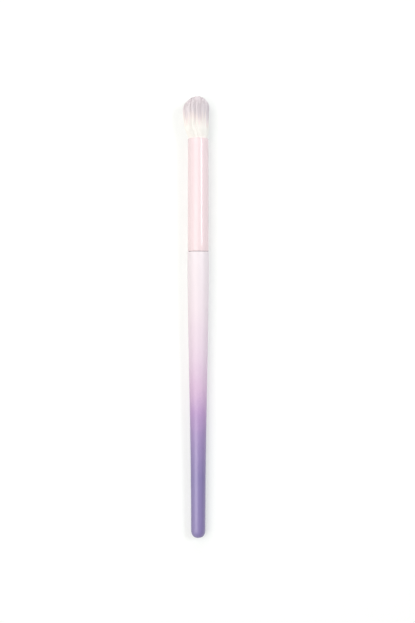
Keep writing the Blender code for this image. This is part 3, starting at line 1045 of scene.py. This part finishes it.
def two_papers(size):
    """Plain matt paper, pale where it lights the brush, and greyer with a lift where it is seen.

    Grey and lift make white together. A shadow takes away the grey's share alone, so the shadows
    where the brush touches the paper stay faint. Far off, the lift is all there is.
    """
    finish, tree, shader, places = new_finish("pale_paper")
    path = add_node(tree, "ShaderNodeLightPath", {})
    seen = seen_directly(tree, path)
    far = add_node(tree, "ShaderNodeVectorMath", {0: places}, operation="LENGTH").outputs["Value"]
    near_end, far_end = PAPER_ENDS
    whiteness = add_node(
        tree,
        "ShaderNodeMapRange",
        {"Value": far, "From Min": near_end, "From Max": far_end, "To Min": size.floor_lift, "To Max": 1},
        interpolation_type="SMOOTHSTEP",
    ).outputs["Result"]
    paper = add_node(
        tree,
        "ShaderNodeValToRGB",
        {"Fac": whiteness},
        stops=((size.floor_lift, linear(GREYER_PAPER)), (1, linear("000000"))),
    )
    colour = add_node(
        tree,
        "ShaderNodeMix",
        {0: seen, 6: (*linear(PALE_PAPER), 1), 7: paper.outputs["Color"]},
        data_type="RGBA",
    )
    lift = add_node(tree, "ShaderNodeMath", {0: seen, 1: whiteness}, operation="MULTIPLY")
    tree.links.new(colour.outputs[2], shader.inputs["Base Color"])
    tree.links.new(lift.outputs[0], shader.inputs["Emission Strength"])
    shader.inputs["Emission Color"].default_value = (1, 1, 1, 1)
    shader.inputs["Roughness"].default_value = 0.8
    shader.inputs["Specular IOR Level"].default_value = 0.2
    return finish


def white_surround(size):
    """A white room: plain white to the camera, and dimmer as it lights the brush.

    As gloss mirrors it, it is lighter on the left, where the broad lamp stands, than on the right.
    """
    world = bpy.data.worlds.new("white_surround")
    world.use_nodes = True
    tree = world.node_tree
    path = add_node(tree, "ShaderNodeLightPath", {})
    seen = seen_directly(tree, path)
    direction = tree.nodes.new("ShaderNodeTexCoord").outputs["Generated"]
    rightwards = add_node(tree, "ShaderNodeSeparateXYZ", {0: direction}).outputs["X"]
    mirrored = add_node(
        tree,
        "ShaderNodeMapRange",
        {"Value": rightwards, "From Min": -1, "To Min": size.left_surround, "To Max": size.right_surround},
    ).outputs["Result"]
    indirect = add_node(
        tree, "ShaderNodeMapRange", {"Value": seen, "To Min": size.ambient, "To Max": mirrored}
    ).outputs["Result"]
    strength = add_node(
        tree,
        "ShaderNodeMapRange",
        {"Value": path.outputs["Is Camera Ray"], "To Min": indirect, "To Max": 1},
    )
    background = tree.nodes["Background"]
    background.inputs["Color"].default_value = (1, 1, 1, 1)
    tree.links.new(strength.outputs["Result"], background.inputs["Strength"])
    return world


def add_lamp(name, power, distance, target):
    """A lamp so far from the target, that faces it with its length along the brush."""
    direction, across, along, colour = LAMPS[name]
    away = Vector(direction).normalized()
    bpy.ops.object.light_add(type="AREA", location=target + away * distance)
    lamp = bpy.context.object
    lamp.name = name
    lamp.rotation_euler = away.to_track_quat("Z", "X").to_euler()
    lamp.data.shape = "RECTANGLE"
    lamp.data.size = across
    lamp.data.size_y = along
    lamp.data.energy = power
    lamp.data.color = linear(colour)


class BRUSH_OT_stage(Operator):
    """Set the pale floor, the soft lamps and the camera above the brush"""

    bl_idname = "makeup_brush.stage"
    bl_label = "Stage"

    def execute(self, context):
        size = context.scene.brush_stage
        nothing_selected()
        bpy.ops.mesh.primitive_plane_add(size=size.floor_size)
        floor = context.object
        floor.name = "pale_floor"
        floor.data.materials.append(two_papers(size))
        context.scene.world = white_surround(size)

        low, high = CAD_BOX
        target = (low + high) / 2
        powers = (size.key_power, size.side_power, size.end_power)
        for name, power in zip(LAMPS, powers):
            add_lamp(name, power, size.lamp_distance, target)

        place = (CAMERA_X, CAMERA_Y, size.camera_height)
        bpy.ops.object.camera_add(location=place, rotation=(0, 0, 0))
        camera = context.object
        camera.data.lens = size.focal_length
        camera.data.clip_start = 10 * MM
        context.scene.camera = camera
        context.scene.view_settings.view_transform = "Standard"
        return {"FINISHED"}


# The add-on


class BRUSH_PT_panel(Panel):
    """The brush's pieces and settings, in the 3D view's sidebar"""

    bl_idname = "BRUSH_PT_panel"
    bl_label = "Makeup brush"
    bl_space_type = "VIEW_3D"
    bl_region_type = "UI"
    bl_category = "Brush"

    def draw(self, context):
        for step in STEPS:
            self.layout.operator(step.bl_idname)
        for name in SETTINGS:
            settings = getattr(context.scene, name)
            box = self.layout.box()
            for field in settings.bl_rna.properties:
                if not field.is_readonly and field.identifier != "name":
                    box.prop(settings, field.identifier)


SETTINGS = {
    "brush_handle": HandleSettings,
    "brush_ferrule": FerruleSettings,
    "brush_tuft": TuftSettings,
    "brush_stage": StageSettings,
}
STEPS = (BRUSH_OT_handle, BRUSH_OT_ferrule, BRUSH_OT_tuft, BRUSH_OT_binding, BRUSH_OT_stage)


def register():
    for kind in (*SETTINGS.values(), *STEPS, BRUSH_PT_panel):
        bpy.utils.register_class(kind)
    for name, kind in SETTINGS.items():
        setattr(bpy.types.Scene, name, PointerProperty(type=kind))


def unregister():
    for name in SETTINGS:
        delattr(bpy.types.Scene, name)
    for kind in (BRUSH_PT_panel, *reversed(STEPS), *SETTINGS.values()):
        bpy.utils.unregister_class(kind)


def main():
    register()
    bpy.ops.makeup_brush.handle()
    bpy.ops.makeup_brush.ferrule()
    bpy.ops.makeup_brush.tuft()
    bpy.ops.makeup_brush.binding()
    bpy.ops.makeup_brush.stage()
    bpy.context.view_layer.update()


if __name__ == "__main__":
    main()
